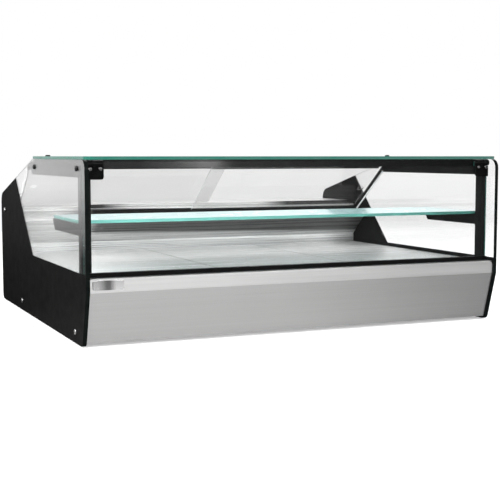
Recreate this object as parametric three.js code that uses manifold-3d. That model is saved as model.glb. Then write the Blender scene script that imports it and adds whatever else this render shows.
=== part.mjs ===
// Heated display case for a shop counter: glass end panels, a glass top on black side frames, a lift-up
// front glass, a glass shelf, a warm steel deck and two sloping sliding doors on the server's side.
// Millimetres, +Z up, +Y to the back, +X to the right; the origin is the middle of the footprint.
import * as THREE from 'three';
import { mergeVertices } from 'three/addons/utils/BufferGeometryUtils.js';
import Module from 'manifold-3d';

const wasm = await Module();
wasm.setup();

// Overall sizes, from which the rest is worked out
const width = 904;
const depth = 800;
const height = 355;
const glass = 6;
const panelGlass = 8;
const sheet = 1.5;
// The gap left between two pieces that touch, and the overrun of a cutting tool
const fit = 0.3;
const overrun = 2;

// End panels
const panelLift = 2;
const kneeHeight = 105;
const footSetback = 30;
const ledgeToShoulder = 22;
const panelFrontRadius = 18;
const panelKneeRadius = 10;
const panelToeRadius = 12;
const panelHeelRadius = 15;
const panelShoulderRadius = 26;
const panelCrestRadius = 6;

// Glass top and its two bolts
const topGlassShare = 0.55125;
const topGlassOverhang = 5;
const topGlassSideInset = 2;
const topCornerRadius = 18;
const topRearRadius = 3;
const topBoltFromSide = 29;
const topBoltFromRear = 29;

// Side frames: post, top rail and shelf arm cut from one bar section
const frameThickness = 12;
const postFront = 34;
const postDepth = 21;
const railDrop = 33;
const railPastCrest = 13;
const railNose = 8;
const railNoseRise = 11;
const armDrop = 22;
const armLength = 206;
const armSlant = 18;
const frameRadius = 3;

// Front rail between the side frames
const frontRailDepth = 20;
const frontRailDrop = 15;
const frontRailWall = 2;

// Shelf
const shelfShare = 0.4847;
const shelfFrontGap = 3;
const shelfPastArm = 3;
const shelfSideGap = 3;
const shelfRadius = 4;

// Lift-up front glass, its clamps, pins and lower profile
const frontGlassFront = 26;
const frontGlassSideGap = 3;
const frontGlassBottom = 134;
const glassNotchPlay = 1;
const glassCrestRise = 3.5;
const hingeAxisFront = 27;
const hingeAxisDrop = 7.2;
const hingeBarrelRadius = 6.5;
const hingePinRadius = 2.5;
const hingePinLength = 20;
const hingeLugWidth = 11.7;
const clampReach = 34;
const clampDrop = 30;
const clampPlate = 5;
const clampRadius = 5;
const profileFront = 20.5;
const profileBack = 33.7;
const profileTop = 140;
const profileRadius = 1.5;

// Steel front, ledge and deck
const fasciaSetback = 3;
const ledgeHeight = 131;
const ledgeDepth = 57;
const fasciaToe = 8;
const fasciaToeReturn = 40;
const deckHeight = 130;
const deckStripDepth = 193;
const deckSeamGap = 0.6;
const deckRearGap = 2;
const deckSkirt = 12;
const deckPlates = ['left', 'middle', 'right'];

// Back of the cabin, server's ledge and back wall
const backUpright = 21;
const backLean = 66;
const backShelfDepth = 57;
const backShelfRise = 9;
const serverLedgeRise = 3.5;
const serverLedgeGap = 4;
const serverLedgeLip = 14;
const rearRecess = 22;
const baseHeight = 8.5;
const baseFlange = 8;

// Sliding doors and their tracks, in a plane that slopes down to the back
const doorSlope = THREE.MathUtils.degToRad(36.7);
const doorBehindCrest = 25;
const doorBelowCrest = 16.7;
const doorThickness = 3;
const doorSpacing = 17;
const doorOverlap = 45;
const doorSideGap = 3.5;
const doorCorner = 3;
const doorLiftPlay = 3.5;
const doorHeadPlay = 0.6;
const fingerHoleRadius = 8;
const fingerHoleInset = 22;
const fingerHoleAlong = 98;
const trackPlay = 0.4;
const trackWall = 1.3;
const trackBase = 2;
const innerTrackDepth = 12.5;
const outerTrackDepth = 4;
const lowerTrackMouth = 179.5;
const lowerTrackDepth = 8;
const headerDepth = 41;
const headerThickness = 4;
const webThickness = 2;
const webRecess = 1;
const webWideGap = 4;
const jambGap = 0.6;
const jambBelow = 10;
const jambWidth = 15;

// Warm deck: shield tray with its ribs, and one tubular element under each deck plate
const shieldFront = 74;
const shieldRearGap = 16;
const shieldRim = 12;
const shieldDrop = 34;
const ribThickness = 2;
const ribHeight = 9;
const ribInset = 110;
const elementRadius = 4;
const elementPitch = 66;
const elementLegs = 4;
const elementFrontGap = 30;
const elementBendSteps = 6;

// Controls on the back wall
const controlsFromSide = 122;
const controlHeight = 130;
const controlPitch = 62;
const knobRadius = 19;
const knobGripRadius = 15.5;
const knobHeight = 16;
const knobSkirt = 4;
const knobGap = 0.8;
const knobBar = 5;
const shaftRadius = 3;
const shaftReach = 12;
const thermostatSize = 42;
const thermostatDeep = 30;
const thermostatGap = 1;
const switchWide = 25;
const switchTall = 33;
const switchFlange = 2;
const switchBodyDeep = 22;
const switchCavityDeep = 15;
const switchWall = 2.5;
const rockerTilt = THREE.MathUtils.degToRad(8);
const rockerPlay = 0.8;
const rockerRise = 5;
const rockerDip = 2.6;
const rockerDeep = 7;
const rockerPinRadius = 1.4;
const rockerPinLength = 1.4;
const lampRadius = 7;
const lampStubRadius = 5;
const lampRise = 4;
const glandRadius = 11;
const glandNutRadius = 9;
const glandStubRadius = 7.5;
const glandBore = 4;
const glandRise = 16;
const glandFlange = 4;
const glandHeight = 42;
const glandInset = 62;
const ventRows = 3;
const ventColumns = 14;
const ventPitch = 17;
const ventRowPitch = 26;
const ventWide = 5;
const ventTall = 16;
const ventFromMiddle = -90;
const ventHeight = 74;

// Bolts and feet
const boltHeadRadius = 5.5;
const boltHeadHeight = 3;
const boltShankRadius = 3;
const boltRim = 0.8;
const boltGrip = 9;
const footRadius = 16;
const footTaper = 2;
const footInsetSide = 62;
const footInsetFront = 90;
const roundSides = 20;

// Worked out from the sizes above
const halfWidth = width / 2;
const panelInner = halfWidth - panelGlass;
const panelTop = height - glass - fit;
const topGlassDepth = depth * topGlassShare;
const flatTopLength = topGlassDepth - topGlassOverhang;
const topBoltFromMiddle = halfWidth - topBoltFromSide;
const topBoltFromFront = topGlassDepth - topBoltFromRear;
const headerFront = topGlassDepth - headerDepth;
const frameInner = panelInner - frameThickness;
const bodySide = panelInner - fit;
const sheetSide = bodySide - sheet - fit;
const hingeAxisZ = panelTop - hingeAxisDrop;
const frontGlassTop = hingeAxisZ - hingeBarrelRadius - fit;
const postRear = postFront + postDepth;
const railBottom = panelTop - railDrop;
const railEnd = flatTopLength + railPastCrest;
const shelfTop = deckHeight + (panelTop - deckHeight) * shelfShare;
const shelfBottom = shelfTop - glass;
const armTop = shelfBottom - fit;
const armBottom = armTop - armDrop;
const armEnd = postRear + armLength;
const shelfFront = postRear + shelfFrontGap;
const shelfRear = armEnd + shelfPastArm;
const lowerTrackEnd = lowerTrackMouth + lowerTrackDepth;
const doorFoot = lowerTrackEnd - trackBase - fit;
const trackHalf = doorThickness / 2 + trackPlay;
const trackInner = -trackHalf - trackWall;
const trackOuter = doorSpacing + trackHalf + trackWall;
const doorTopY = flatTopLength + doorBehindCrest;
const doorTopZ = panelTop - doorBelowCrest;

// A point of the door plane: along is measured down the slope, out along the plane's upper normal
function onDoorPlane(along, out) {
  return [
    doorTopY + along * Math.cos(doorSlope) + out * Math.sin(doorSlope),
    doorTopZ - along * Math.sin(doorSlope) + out * Math.cos(doorSlope),
  ];
}

// Places behind the cabin follow from the lower end of the tracks
const [seatInnerY, seatInnerZ] = onDoorPlane(lowerTrackEnd + fit, trackInner - sheet);
const [seatOuterY, seatOuterZ] = onDoorPlane(lowerTrackEnd + fit, trackOuter);
const backLipFront = seatInnerY - backShelfDepth;
const backLipHeight = seatInnerZ - backShelfRise;
const backWallFront = backLipFront + backLean;
const backBendHeight = deckHeight + backUpright;
const serverLedgeStart = seatOuterY + serverLedgeGap;
const serverLedgeHeight = seatOuterZ + serverLedgeRise;
const rearShoulderHeight = serverLedgeHeight + ledgeToShoulder;
const rearWallBack = depth - rearRecess;
const deckRear = backWallFront - deckRearGap;
const deckSeam = deckRear - deckStripDepth;
const shieldRear = deckRear - shieldRearGap;

// The web of the header lies a little below the slope of the end panels
const crestSlope = (panelTop - rearShoulderHeight) / (depth - flatTopLength);
const webHeight = (y) => panelTop - webRecess - (y - flatTopLength) * crestSlope;

// How far along the door plane a line at that distance out meets the web, or a level below the web
function alongAtWeb(out, below) {
  const [y, z] = onDoorPlane(0, out);
  return (z + below - webHeight(y)) / (Math.sin(doorSlope) - Math.cos(doorSlope) * crestSlope);
}

const innerSeat = alongAtWeb(trackHalf + trackWall, webThickness / 2);
const innerMouth = innerSeat + innerTrackDepth;
const innerDoorTop = innerSeat + trackWall + doorLiftPlay;
const outerSeat = alongAtWeb(doorSpacing - trackHalf - trackWall, webThickness / 2);
const outerLip = alongAtWeb(doorSpacing + trackHalf + trackWall, webThickness / 2);
const outerMouth = outerLip + outerTrackDepth;
const outerDoorTop = alongAtWeb(doorSpacing + doorThickness / 2, webThickness) + doorHeadPlay;
const doorSide = panelInner - doorSideGap;
const doorSpan = doorSide + doorOverlap / 2;
const deckPlateWide = (2 * sheetSide - 2 * deckSeamGap) / deckPlates.length;
const shieldTop = deckHeight - sheet - fit;
const shieldFloor = shieldTop - shieldDrop;
const wallOuter = rearWallBack - sheet - fit;
const wallInner = wallOuter - sheet;

// Colours and finishes
const finishes = {
  clearGlass: { color: 0xd8ece6, roughness: 0.03, metalness: 0, transparent: true, opacity: 0.35 },
  acrylic: { color: 0xe4e6e6, roughness: 0.08, metalness: 0, transparent: true, opacity: 0.45 },
  steel: { color: 0xb9b9b7, roughness: 0.32, metalness: 0.9 },
  blackMetal: { color: 0x161718, roughness: 0.4, metalness: 0.2 },
  blackPlastic: { color: 0x101011, roughness: 0.5, metalness: 0 },
  rubber: { color: 0x0c0c0c, roughness: 0.85, metalness: 0 },
  boltSteel: { color: 0x6b6c6e, roughness: 0.3, metalness: 0.9 },
  element: { color: 0x4a4743, roughness: 0.55, metalness: 0.7 },
  amber: { color: 0xd9861c, roughness: 0.25, metalness: 0 },
};

// A closed outline through corners [a, b, radius], with an arc wherever a radius is given
function outline(corners, arcSteps = 6) {
  const points = [];
  corners.forEach(([a, b, radius = 0], index) => {
    const corner = new THREE.Vector2(a, b);
    const before = corners[(index + corners.length - 1) % corners.length];
    const after = corners[(index + 1) % corners.length];
    const back = new THREE.Vector2(before[0], before[1]).sub(corner).normalize();
    const ahead = new THREE.Vector2(after[0], after[1]).sub(corner).normalize();
    if (radius === 0) {
      points.push(corner);
      return;
    }
    const half = Math.acos(THREE.MathUtils.clamp(back.dot(ahead), -1, 1)) / 2;
    const bisector = back.clone().add(ahead).normalize();
    const centre = corner.clone().addScaledVector(bisector, radius / Math.sin(half));
    const start = corner.clone().addScaledVector(back, radius / Math.tan(half)).sub(centre);
    const turn = Math.PI - 2 * half;
    const side = Math.sign(back.cross(ahead));
    for (let step = 0; step <= arcSteps; step += 1) {
      const spoke = start.clone().rotateAround(new THREE.Vector2(), (-side * turn * step) / arcSteps);
      points.push(centre.clone().add(spoke));
    }
  });
  return points;
}

function circle(a, b, radius, sides = roundSides) {
  const points = [];
  for (let step = 0; step < sides; step += 1) {
    const angle = (2 * Math.PI * step) / sides;
    points.push(new THREE.Vector2(a + radius * Math.cos(angle), b + radius * Math.sin(angle)));
  }
  return points;
}

// A folded sheet: the outline of a band of even thickness that lies to the left of a path of bends
function foldedSheet(path, thickness) {
  const points = path.map(([a, b]) => new THREE.Vector2(a, b));
  const inner = points.map((point, index) => {
    const before = points[Math.max(index - 1, 0)];
    const after = points[Math.min(index + 1, points.length - 1)];
    const into = (index > 0 ? point.clone().sub(before) : after.clone().sub(point)).normalize();
    const out = (index < points.length - 1 ? after.clone().sub(point) : into.clone()).normalize();
    const normalIn = new THREE.Vector2(-into.y, into.x);
    const normalOut = new THREE.Vector2(-out.y, out.x);
    const mitre = normalIn.clone().add(normalOut).normalize();
    return point.clone().addScaledVector(mitre, thickness / mitre.dot(normalIn));
  });
  return [...points, ...inner.reverse()];
}

const axisX = new THREE.Vector3(1, 0, 0);
const axisY = new THREE.Vector3(0, 1, 0);
const axisZ = new THREE.Vector3(0, 0, 1);
const sideBasis = new THREE.Matrix4().makeBasis(axisY, axisZ, axisX);
const frontBasis = new THREE.Matrix4().makeBasis(axisX, axisZ, axisY.clone().negate());

function extruded(points, length, holes = []) {
  const shape = new THREE.Shape(points);
  holes.forEach((hole) => shape.holes.push(new THREE.Path(hole)));
  return new THREE.ExtrudeGeometry(shape, { depth: length, bevelEnabled: false });
}

// A side view (y, z) drawn out from x = from to x = to
function acrossX(points, from, to, holes) {
  const geometry = extruded(points, to - from, holes);
  return geometry.applyMatrix4(sideBasis).translate(from, 0, 0);
}

// A front view (x, z) drawn out from y = from to y = to
function acrossY(points, from, to, holes) {
  const geometry = extruded(points, to - from, holes);
  return geometry.applyMatrix4(frontBasis).translate(0, to, 0);
}

// A plan (x, y) drawn up from z = from to z = to
function upZ(points, from, to, holes) {
  return extruded(points, to - from, holes).translate(0, 0, from);
}

function box(x0, x1, y0, y1, z0, z1) {
  const geometry = new THREE.BoxGeometry(x1 - x0, y1 - y0, z1 - z0);
  return geometry.translate((x0 + x1) / 2, (y0 + y1) / 2, (z0 + z1) / 2);
}

// A turned piece: a profile [radius, along] about the axis that points along direction
function turned(profile, direction, sides = roundSides) {
  const geometry = new THREE.LatheGeometry(profile.map(([radius, along]) => new THREE.Vector2(radius, along)), sides);
  const turn = new THREE.Quaternion().setFromUnitVectors(axisY, direction);
  return geometry.applyMatrix4(new THREE.Matrix4().makeRotationFromQuaternion(turn));
}

// A route of straight lines from point to point, with one step of a sweep for each line
class Route extends THREE.Curve {
  constructor(points) {
    super();
    this.points = points;
  }

  getPoint(t, target = new THREE.Vector3()) {
    const place = t * (this.points.length - 1);
    const index = Math.min(Math.floor(place), this.points.length - 2);
    return target.copy(this.points[index]).lerp(this.points[index + 1], place - index);
  }

  getPointAt(t, target) {
    return this.getPoint(t, target);
  }

  getTangentAt(t, target) {
    return this.getTangent(t, target);
  }
}

function rodAlong(points, radius, sides) {
  const section = new THREE.Shape(circle(0, 0, radius, sides));
  return new THREE.ExtrudeGeometry(section, { steps: points.length - 1, extrudePath: new Route(points) });
}

function toSolid(geometry) {
  const bare = new THREE.BufferGeometry();
  bare.setAttribute('position', geometry.getAttribute('position').clone());
  if (geometry.index) bare.setIndex(geometry.index.clone());
  const merged = mergeVertices(bare, 1e-4);
  return new wasm.Manifold(new wasm.Mesh({
    numProp: 3,
    vertProperties: new Float32Array(merged.getAttribute('position').array),
    triVerts: new Uint32Array(merged.index.array),
  }));
}

function toGeometry(solid) {
  const mesh = solid.getMesh();
  const geometry = new THREE.BufferGeometry();
  geometry.setAttribute('position', new THREE.BufferAttribute(new Float32Array(mesh.vertProperties), 3));
  geometry.setIndex(new THREE.BufferAttribute(new Uint32Array(mesh.triVerts), 1));
  return geometry;
}

function joined(...geometries) {
  return toGeometry(geometries.map(toSolid).reduce((whole, next) => whole.add(next)));
}

function cut(geometry, ...tools) {
  return toGeometry(tools.map(toSolid).reduce((whole, tool) => whole.subtract(tool), toSolid(geometry)));
}

const displayCase = new THREE.Group();
const body = new THREE.Group();
body.position.y = -depth / 2;
displayCase.add(body);

function add(name, geometry, finish, parent = body) {
  const mesh = new THREE.Mesh(geometry, new THREE.MeshStandardMaterial(finishes[finish]));
  mesh.name = name;
  parent.add(mesh);
  return mesh;
}

// Each side is built once for the right and mirrored for the left by its sign
const sides = [['left', -1], ['right', 1]];
const span = (sign, inner, outer) => (sign > 0 ? [inner, outer] : [-outer, -inner]);

// Places of the bolts that hold each end panel: two into the side frame and three into the body
const frameBolts = [
  ['front', postFront + postDepth, panelTop - railDrop / 2],
  ['rear', railEnd - railDrop, panelTop - railDrop / 2],
];
const bodyBoltHeight = 24;
const bodyBolts = [
  ['toe', footSetback + 2 * bodyBoltHeight, bodyBoltHeight],
  ['middle', backLipFront + panelToeRadius, bodyBoltHeight],
  ['heel', rearWallBack - bodyBoltHeight, serverLedgeHeight - panelHeelRadius],
];

function bolt(sign, y, z) {
  const tip = -(panelGlass + boltGrip);
  const profile = [
    [0, tip], [boltShankRadius, tip], [boltShankRadius, fit], [boltHeadRadius, fit],
    [boltHeadRadius, fit + boltRim], [boltHeadRadius - boltRim, boltHeadHeight - boltRim / 2],
    [boltHeadRadius / 2, boltHeadHeight], [0, boltHeadHeight],
  ];
  const direction = axisX.clone().multiplyScalar(sign);
  return turned(profile, direction).translate(sign * halfWidth, y, z);
}

function endPanel(sign) {
  const corners = [
    [footSetback, panelLift, panelToeRadius],
    [depth, panelLift, panelHeelRadius],
    [depth, rearShoulderHeight, panelShoulderRadius],
    [flatTopLength, panelTop, panelCrestRadius],
    [0, panelTop, panelFrontRadius],
    [0, kneeHeight, panelKneeRadius],
  ];
  const holes = [...frameBolts, ...bodyBolts].map(([, y, z]) => circle(y, z, boltShankRadius + fit));
  return acrossX(outline(corners), ...span(sign, panelInner, halfWidth), holes);
}

function sideFrame(sign) {
  const corners = [
    [postFront, ledgeHeight + fit],
    [postRear, ledgeHeight + fit],
    [postRear, armBottom, frameRadius],
    [armEnd - armSlant, armBottom, frameRadius],
    [armEnd, armTop],
    [postRear, armTop, frameRadius],
    [postRear, railBottom, frameRadius],
    [railEnd, railBottom],
    [railEnd + railNose, railBottom + railNoseRise],
    [railEnd - 2 * railNose, panelTop],
    [postFront, panelTop],
  ];
  const holes = frameBolts.map(([, y, z]) => circle(y, z, boltShankRadius + fit));
  return acrossX(outline(corners, 3), ...span(sign, frameInner, bodySide), holes);
}

function topGlass() {
  const side = halfWidth - topGlassSideInset;
  const corners = [
    [-side, 0, topCornerRadius],
    [side, 0, topCornerRadius],
    [side, topGlassDepth, topRearRadius],
    [-side, topGlassDepth, topRearRadius],
  ];
  const holes = sides.map(([, sign]) => circle(sign * topBoltFromMiddle, topBoltFromFront, boltShankRadius + fit));
  return upZ(outline(corners), height - glass, height, holes);
}

function topBolt(sign) {
  const profile = [
    [0, -glass - headerThickness], [boltShankRadius, -glass - headerThickness],
    [boltShankRadius, fit], [boltHeadRadius, fit], [boltHeadRadius, fit + boltRim],
    [boltHeadRadius - boltRim, boltHeadHeight - boltRim / 2], [boltHeadRadius / 2, boltHeadHeight],
    [0, boltHeadHeight],
  ];
  return turned(profile, axisZ).translate(sign * topBoltFromMiddle, topBoltFromFront, height);
}

// The front rail is a channel that is open to the back
function frontRail() {
  const rear = postFront + frontRailDepth;
  const low = panelTop - frontRailDrop;
  const path = [[rear, low], [postFront, low], [postFront, panelTop], [rear, panelTop]];
  const wall = foldedSheet([...path].reverse(), frontRailWall);
  return acrossX(wall, -frameInner + fit, frameInner - fit);
}

function shelf() {
  const side = panelInner - shelfSideGap;
  const corners = [
    [-side, shelfFront, shelfRadius],
    [side, shelfFront, shelfRadius],
    [side, shelfRear, shelfRadius],
    [-side, shelfRear, shelfRadius],
  ];
  return upZ(outline(corners, 4), shelfBottom, shelfTop);
}

// The upper corners of the front glass are notched round the barrels of the clamps
function frontGlass() {
  const side = panelInner - frontGlassSideGap;
  const notch = panelInner - clampReach - glassNotchPlay;
  const shoulder = frontGlassTop - fit;
  const crest = hingeAxisZ + glassCrestRise;
  const corners = [
    [-side, frontGlassBottom], [side, frontGlassBottom], [side, shoulder], [notch, shoulder],
    [notch, crest], [-notch, crest], [-notch, shoulder], [-side, shoulder],
  ];
  return acrossY(outline(corners), frontGlassFront, frontGlassFront + glass);
}

// The lower profile grips the glass in a groove and doubles as the grip for lifting it
function frontGlassProfile() {
  const low = ledgeHeight + 2 * fit;
  const corners = [
    [profileFront, low, profileRadius],
    [profileBack, low],
    [profileBack, profileTop],
    [frontGlassFront + glass + fit, profileTop],
    [frontGlassFront + glass + fit, frontGlassBottom - fit],
    [frontGlassFront - fit, frontGlassBottom - fit],
    [frontGlassFront - fit, profileTop],
    [profileFront, profileTop, profileRadius],
  ];
  const side = panelInner - frontGlassSideGap;
  return acrossX(outline(corners, 3), -side, side);
}

// The clamp bolts to the upper corner of the glass and turns on the pin with its barrel
function glassClamp(sign) {
  const inner = panelInner - clampReach;
  const outer = panelInner - frontGlassSideGap;
  const barrelOuter = bodySide - hingeLugWidth - fit;
  const plateTop = hingeAxisZ - hingeBarrelRadius - fit;
  const plateRear = frontGlassFront - fit;
  const low = panelTop - clampDrop - hingeBarrelRadius;
  const plate = outline([
    [sign * inner, low, clampRadius],
    [sign * outer, low],
    [sign * outer, plateTop],
    [sign * inner, plateTop],
  ], 4);
  if (sign < 0) plate.reverse();
  const neck = [
    [plateRear - clampPlate, plateTop - hingeBarrelRadius],
    [plateRear, plateTop - hingeBarrelRadius],
    [plateRear, plateTop],
    [hingeAxisFront + hingeBarrelRadius / 2, hingeAxisZ - hingeBarrelRadius / 2],
    [hingeAxisFront - hingeBarrelRadius, hingeAxisZ],
  ].map(([y, z]) => new THREE.Vector2(y, z));
  const barrel = circle(hingeAxisFront, hingeAxisZ, hingeBarrelRadius);
  const bore = circle(hingeAxisFront, hingeAxisZ, hingePinRadius + fit);
  const reach = span(sign, inner, barrelOuter);
  const whole = joined(
    acrossY(plate, plateRear - clampPlate, plateRear),
    acrossX(neck, ...reach),
    acrossX(barrel, ...reach),
  );
  return cut(whole, acrossX(bore, reach[0] - overrun, reach[1] + overrun));
}

// The lug is fixed to the front of the post and carries the pin
function hingeLug(sign) {
  const rear = postFront - fit;
  const lug = outline([
    [hingeAxisFront, hingeAxisZ - hingeBarrelRadius],
    [rear, hingeAxisZ - hingeBarrelRadius],
    [rear, panelTop],
    [hingeAxisFront, panelTop],
  ]);
  const disc = circle(hingeAxisFront, hingeAxisZ, hingeBarrelRadius);
  const pin = circle(hingeAxisFront, hingeAxisZ, hingePinRadius, roundSides / 2);
  const block = span(sign, bodySide - hingeLugWidth, bodySide);
  const pinSpan = span(sign, bodySide - hingeLugWidth - hingePinLength, bodySide - hingeLugWidth / 2);
  return joined(acrossX(lug, ...block), acrossX(disc, ...block), acrossX(pin, ...pinSpan));
}

// Fascia: upper strip, sloped front, ledge under the front glass and a return under the body
function fasciaPath() {
  const toe = footSetback + fasciaSetback - (fasciaToe - panelLift) * (footSetback / (kneeHeight - panelLift));
  return [
    [toe + fasciaToeReturn, fasciaToe],
    [toe, fasciaToe],
    [fasciaSetback, kneeHeight],
    [fasciaSetback, ledgeHeight],
    [ledgeDepth, ledgeHeight],
  ];
}

function fascia() {
  return acrossX(foldedSheet([...fasciaPath()].reverse(), sheet), -bodySide, bodySide);
}

function deckSheet(front, rear, left, right) {
  const path = [
    [rear, deckHeight - deckSkirt],
    [rear, deckHeight],
    [front, deckHeight],
    [front, deckHeight - deckSkirt],
  ];
  return acrossX(foldedSheet(path, sheet), left, right);
}

// Back of the cabin: upright, a part that leans in under the doors, a shelf and the seat of the tracks
function backPath() {
  return [
    [backWallFront, deckHeight - deckSkirt],
    [backWallFront, backBendHeight],
    [backLipFront, backLipHeight],
    [seatInnerY, seatInnerZ],
    [seatOuterY, seatOuterZ],
  ];
}

function cabinBack() {
  return acrossX(foldedSheet([...backPath()].reverse(), sheet), -sheetSide, sheetSide);
}

function serverLedge() {
  const path = [
    [serverLedgeStart, serverLedgeHeight - serverLedgeLip],
    [serverLedgeStart, serverLedgeHeight],
    [rearWallBack, serverLedgeHeight],
    [rearWallBack, serverLedgeHeight - serverLedgeLip],
  ];
  return acrossX(foldedSheet([...path].reverse(), sheet), -sheetSide, sheetSide);
}

// The cheeks close the body at both sides and take the lower bolts of the end panels
function cheek(sign) {
  const inset = sheet + fit;
  const slopeY = footSetback / (kneeHeight - panelLift);
  const low = baseHeight + sheet + fit;
  const toe = fasciaSetback + (kneeHeight - low) * slopeY + inset;
  const corners = [
    [toe + inset, low],
    [rearWallBack - inset, low],
    [rearWallBack - inset, serverLedgeHeight - inset],
    [serverLedgeStart + inset, serverLedgeHeight - inset],
    onDoorPlane(lowerTrackEnd + fit + inset, trackOuter),
    onDoorPlane(lowerTrackEnd + fit + inset, trackInner),
    [backLipFront + 3 * inset, backLipHeight - fit],
    [backWallFront + inset, backBendHeight],
    [backWallFront + inset, deckHeight - inset],
    [fasciaSetback + inset, deckHeight - inset],
    [fasciaSetback + inset, kneeHeight],
  ];
  const holes = bodyBolts.map(([, y, z]) => circle(y, z, boltShankRadius + fit));
  return acrossX(outline(corners), ...span(sign, bodySide - sheet, bodySide), holes);
}

// The base pan is a tray with turned-up sides
function basePan() {
  const path = [
    [-sheetSide, baseHeight + baseFlange],
    [-sheetSide, baseHeight],
    [sheetSide, baseHeight],
    [sheetSide, baseHeight + baseFlange],
  ];
  const front = fasciaPath()[0][0] + fit;
  return acrossY(foldedSheet(path, sheet), front, wallInner - fit);
}

// The shield tray hangs under the deck; its rims carry the deck plates and its ribs the elements
function shield() {
  const path = [
    [shieldRear + shieldRim, shieldTop],
    [shieldRear, shieldTop],
    [shieldRear, shieldFloor],
    [shieldFront, shieldFloor],
    [shieldFront, shieldTop],
    [shieldFront - shieldRim, shieldTop],
  ];
  const tray = acrossX(foldedSheet([...path].reverse(), -sheet), -sheetSide, sheetSide);
  const ribs = [shieldFront + ribInset, shieldRear - ribInset].map((y) => (
    box(-sheetSide, sheetSide, y, y + ribThickness, shieldFloor - sheet / 2, shieldFloor + ribHeight)
  ));
  return joined(tray, ...ribs);
}

// Each element runs to and fro under its plate, with both ends at the back
function element(middle) {
  const z = shieldFloor + ribHeight + fit + elementRadius;
  const bend = elementPitch / 2;
  const front = shieldFront + elementFrontGap + bend;
  const rear = shieldRear - elementFrontGap - bend;
  const points = [];
  for (let leg = 0; leg < elementLegs; leg += 1) {
    const x = middle + (leg - (elementLegs - 1) / 2) * elementPitch;
    const forward = leg % 2 === 0;
    const first = leg === 0 ? shieldRear - elementFrontGap : rear;
    const last = leg === elementLegs - 1 ? shieldRear - elementFrontGap : rear;
    points.push(new THREE.Vector3(x, forward ? first : front, z));
    points.push(new THREE.Vector3(x, forward ? front : last, z));
    for (let step = 1; leg + 1 < elementLegs && step < elementBendSteps; step += 1) {
      const angle = (Math.PI * step) / elementBendSteps;
      const reach = bend * Math.sin(angle) * (forward ? -1 : 1);
      points.push(new THREE.Vector3(x + bend - bend * Math.cos(angle), (forward ? front : rear) + reach, z));
    }
  }
  return rodAlong(points, elementRadius, roundSides / 2);
}

// Openings in the back wall for the controls, the gland and the vents
const knobX = halfWidth - controlsFromSide;
const lampX = knobX - controlPitch / 2 - lampRadius;
const switchX = knobX - controlPitch - lampRadius;
const glandX = halfWidth - glandInset;
const cavityWide = switchWide - 2 * switchWall;
const cavityTall = switchTall - 2 * switchWall;

function rectangle(x, z, wide, tall) {
  return [[-1, -1], [1, -1], [1, 1], [-1, 1]].map(([across, up]) => (
    new THREE.Vector2(x + (across * wide) / 2, z + (up * tall) / 2)
  ));
}

function rearWall() {
  const holes = [
    circle(knobX, controlHeight, shaftRadius + 2 * fit),
    circle(lampX, controlHeight, lampStubRadius + fit),
    circle(glandX, glandHeight, glandStubRadius + fit),
    rectangle(switchX, controlHeight, switchWide - switchWall + 2 * fit, switchTall - switchWall + 2 * fit),
  ];
  for (let row = 0; row < ventRows; row += 1) {
    for (let column = 0; column < ventColumns; column += 1) {
      const x = ventFromMiddle + (column - (ventColumns - 1) / 2) * ventPitch;
      holes.push(rectangle(x, ventHeight + row * ventRowPitch, ventWide, ventTall));
    }
  }
  const plate = box(-sheetSide, sheetSide, wallInner, wallOuter, baseHeight, serverLedgeHeight - sheet - fit);
  return cut(plate, ...holes.map((hole) => acrossY(hole, wallInner - overrun, wallOuter + overrun)));
}

// A section drawn in door plane coordinates: [along the slope, out from the lower door]
function doorSection(points) {
  return points.map(([along, out]) => new THREE.Vector2(...onDoorPlane(along, out)));
}

function channel(middle, mouth, base, thickness) {
  const inner = base + Math.sign(mouth - base) * thickness;
  return doorSection([
    [mouth, middle + trackHalf], [inner, middle + trackHalf],
    [inner, middle - trackHalf], [mouth, middle - trackHalf],
    [mouth, middle - trackHalf - trackWall], [base, middle - trackHalf - trackWall],
    [base, middle + trackHalf + trackWall], [mouth, middle + trackHalf + trackWall],
  ]);
}

function sectionAcross(points, from, to) {
  const outer = THREE.ShapeUtils.isClockWise(points) ? [...points].reverse() : points;
  return acrossX(outer, from, to);
}

function lowerTrack(out) {
  return sectionAcross(channel(out, lowerTrackMouth, lowerTrackEnd, trackBase), -bodySide, bodySide);
}

// The header: a flange bolted under the glass top, a web that follows the slope of the end panels,
// and the two upper tracks
function header() {
  const [lipY] = onDoorPlane(outerLip, doorSpacing + trackHalf + trackWall);
  const flangeBend = flatTopLength + webRecess;
  const narrow = [
    [headerFront, panelTop], [headerFront, panelTop - headerThickness],
    [flangeBend, panelTop - headerThickness], [lipY, webHeight(lipY) - webThickness],
    [lipY, webHeight(lipY)], [flangeBend, webHeight(flangeBend)], [flangeBend, panelTop],
  ].map(([y, z]) => new THREE.Vector2(y, z));
  const wideFrom = railEnd + webWideGap;
  const wide = [
    [wideFrom, webHeight(wideFrom)], [wideFrom, webHeight(wideFrom) - webThickness],
    [lipY, webHeight(lipY) - webThickness], [lipY, webHeight(lipY)],
  ].map(([y, z]) => new THREE.Vector2(y, z));
  const wall = (out, from, to) => doorSection([
    [from, out], [to, out], [to, out + trackWall], [from, out + trackWall],
  ]);
  const inner = channel(0, innerMouth, innerSeat, trackWall);
  const walls = [
    wall(doorSpacing - trackHalf - trackWall, outerSeat, outerMouth),
    wall(doorSpacing + trackHalf, outerLip, outerMouth),
  ];
  const narrowSide = frameInner - fit;
  const whole = joined(
    sectionAcross(narrow, -narrowSide, narrowSide),
    sectionAcross(wide, -bodySide, bodySide),
    sectionAcross(inner, -bodySide, bodySide),
    ...walls.map((section) => sectionAcross(section, -bodySide, bodySide)),
  );
  const holes = sides.map(([, sign]) => circle(sign * topBoltFromMiddle, topBoltFromFront, boltShankRadius + fit));
  return cut(whole, ...holes.map((hole) => upZ(hole, panelTop - 2 * headerThickness, height)));
}

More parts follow.
